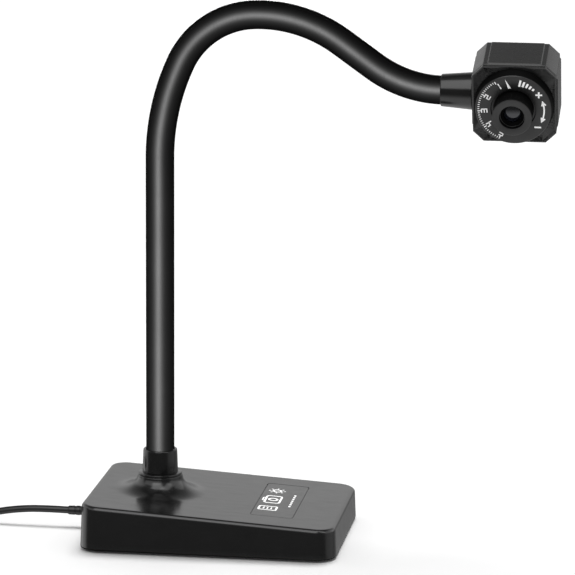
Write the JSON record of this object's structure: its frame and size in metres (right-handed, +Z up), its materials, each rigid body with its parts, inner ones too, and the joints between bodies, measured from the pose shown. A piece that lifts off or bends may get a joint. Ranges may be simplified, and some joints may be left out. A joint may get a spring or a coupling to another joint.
{
  "type": "document camera",
  "caption": "Document camera: a weighted wedge-shaped base, a bendable gooseneck stem and a small square camera head with a turning focus dial.",
  "frame": {"origin": "centre of the base's underside, on the table", "axes": "+X from the cable end to the low front end of the base, +Z up, the head's lens faces -Y at rest"},
  "size_m": [0.3597, 0.153, 0.2667],
  "materials": {
    "base_shell": "satin black moulded plastic",
    "dark_plastic": "matte black plastic",
    "rubber_black": "black rubber",
    "ballast_steel": "bare rolled steel",
    "screw_steel": "zinc-plated steel",
    "label_film": "printed film",
    "cable_jacket": "black PVC jacket",
    "stem_shell": "satin black plastic",
    "fitting_steel": "turned steel",
    "neck_sleeve": "smooth black silicone-like sleeve",
    "neck_core": "interlocked spring steel",
    "head_shell": "fine-grained black plastic",
    "dial_plastic": "matte black plastic with white printing",
    "lens_black": "anodised black",
    "lens_glass": "coated optical glass",
    "filter_glass": "infrared-cut filter glass",
    "board_green": "green solder mask",
    "white_plastic": "white plastic",
    "plug_metal": "nickel-plated steel"
  },
  "bodies": {
    "base": {"base_cover": "base_shell", "base_plate": "dark_plastic", "ballast_plate": "ballast_steel", "base_inner_screws": "screw_steel", "base_pad": "rubber_black", "base_screws": "screw_steel", "label_plate": "label_film", "strain_relief": "cable_jacket", "cable_clamp": "dark_plastic", "base_lead": "cable_jacket", "stem_collar": "stem_shell", "stem_fitting": "fitting_steel", "stem_washer": "fitting_steel", "stem_nut": "fitting_steel", "neck_sleeve_0": "neck_sleeve", "neck_core_0": "neck_core", "usb_cable": "cable_jacket", "cable_coil": "cable_jacket", "cable_tail": "cable_jacket", "cable_tie": "cable_jacket", "plug_body": "cable_jacket", "plug_shell": "plug_metal", "plug_tongue": "white_plastic"},
    "neck_link_1": {"neck_sleeve_1": "neck_sleeve", "neck_core_1": "neck_core"},
    "neck_link_2": {"neck_sleeve_2": "neck_sleeve", "neck_core_2": "neck_core"},
    "neck_link_3": {"neck_sleeve_3": "neck_sleeve", "neck_core_3": "neck_core"},
    "neck_link_4": {"neck_sleeve_4": "neck_sleeve", "neck_core_4": "neck_core"},
    "neck_link_5": {"neck_sleeve_5": "neck_sleeve", "neck_core_5": "neck_core"},
    "neck_link_6": {"neck_sleeve_6": "neck_sleeve", "neck_core_6": "neck_core"},
    "neck_link_7": {"neck_sleeve_7": "neck_sleeve", "neck_core_7": "neck_core"},
    "neck_end": {"neck_sleeve_8": "neck_sleeve", "neck_core_8": "neck_core", "head_ferrule": "stem_shell", "swivel_fitting": "fitting_steel", "swivel_washer": "fitting_steel", "swivel_nut": "fitting_steel"},
    "head": {"head_housing": "head_shell", "head_front_plate": "head_shell", "head_screws": "screw_steel", "lens_holder": "dark_plastic", "ir_filter": "filter_glass", "image_sensor": "dark_plastic", "sensor_board": "board_green", "board_screws": "screw_steel", "board_connector": "white_plastic", "head_lead": "cable_jacket", "microphone": "fitting_steel"},
    "dial": {"focus_dial": "dial_plastic", "dial_clip": "fitting_steel"},
    "lens": {"lens_barrel": "lens_black", "lens_retainer": "lens_black", "front_lens": "lens_glass", "rear_lens": "lens_glass"}
  },
  "joints": [
    {"name": "stem_lean", "type": "hinge", "parent": "base", "child": "neck_link_1", "pos_m": [-0.0302, 0, 0.064], "axis": [0, 1, 0], "range_deg": [-25, 25]},
    {"name": "stem_side", "type": "hinge", "parent": "neck_link_1", "child": "neck_link_2", "pos_m": [-0.0302, 0, 0.1054], "axis": [1, 0, 0], "range_deg": [-25, 25]},
    {"name": "stem_lean_upper", "type": "hinge", "parent": "neck_link_2", "child": "neck_link_3", "pos_m": [-0.0302, 0, 0.1468], "axis": [0, 1, 0], "range_deg": [-25, 25]},
    {"name": "stem_side_upper", "type": "hinge", "parent": "neck_link_3", "child": "neck_link_4", "pos_m": [-0.0302, 0, 0.1882], "axis": [1, 0, 0], "range_deg": [-25, 25]},
    {"name": "arch_bend", "type": "hinge", "parent": "neck_link_4", "child": "neck_link_5", "pos_m": [-0.02003, 0, 0.23506], "axis": [0, 1, 0], "range_deg": [-40, 18]},
    {"name": "arch_bend_outer", "type": "hinge", "parent": "neck_link_5", "child": "neck_link_6", "pos_m": [0.01599, 0, 0.25959], "axis": [0, 1, 0], "range_deg": [-40, 18]},
    {"name": "tip_bend", "type": "hinge", "parent": "neck_link_6", "child": "neck_link_7", "pos_m": [0.05865, 0, 0.24731], "axis": [0, 1, 0], "range_deg": [-25, 25]},
    {"name": "tip_bend_outer", "type": "hinge", "parent": "neck_link_7", "child": "neck_end", "pos_m": [0.07461, 0, 0.2361], "axis": [0, 1, 0], "range_deg": [-25, 25]},
    {"name": "head_turn", "type": "hinge", "parent": "neck_end", "child": "head", "pos_m": [0.12353, 0, 0.22537], "axis": [1, 0, 0], "range_deg": [-80, 160]},
    {"name": "focus_turn", "type": "hinge", "parent": "head", "child": "dial", "pos_m": [0.14353, 0, 0.22537], "axis": [0, -0.9455, -0.3256], "range_deg": [-135, 135]},
    {"name": "lens_travel", "type": "slide", "parent": "dial", "child": "lens", "axis": [0, -0.9455, -0.3256], "range_m": [-0.00019, 0.00019]}
  ],
  "couplings": [
    {"joint": "stem_lean_upper", "follows": "stem_lean", "ratio": 1},
    {"joint": "stem_side_upper", "follows": "stem_side", "ratio": 1},
    {"joint": "arch_bend_outer", "follows": "arch_bend", "ratio": 1},
    {"joint": "tip_bend_outer", "follows": "tip_bend", "ratio": 1},
    {"joint": "lens_travel", "follows": "focus_turn", "m_per_rad": 0.00007958}
  ]
}
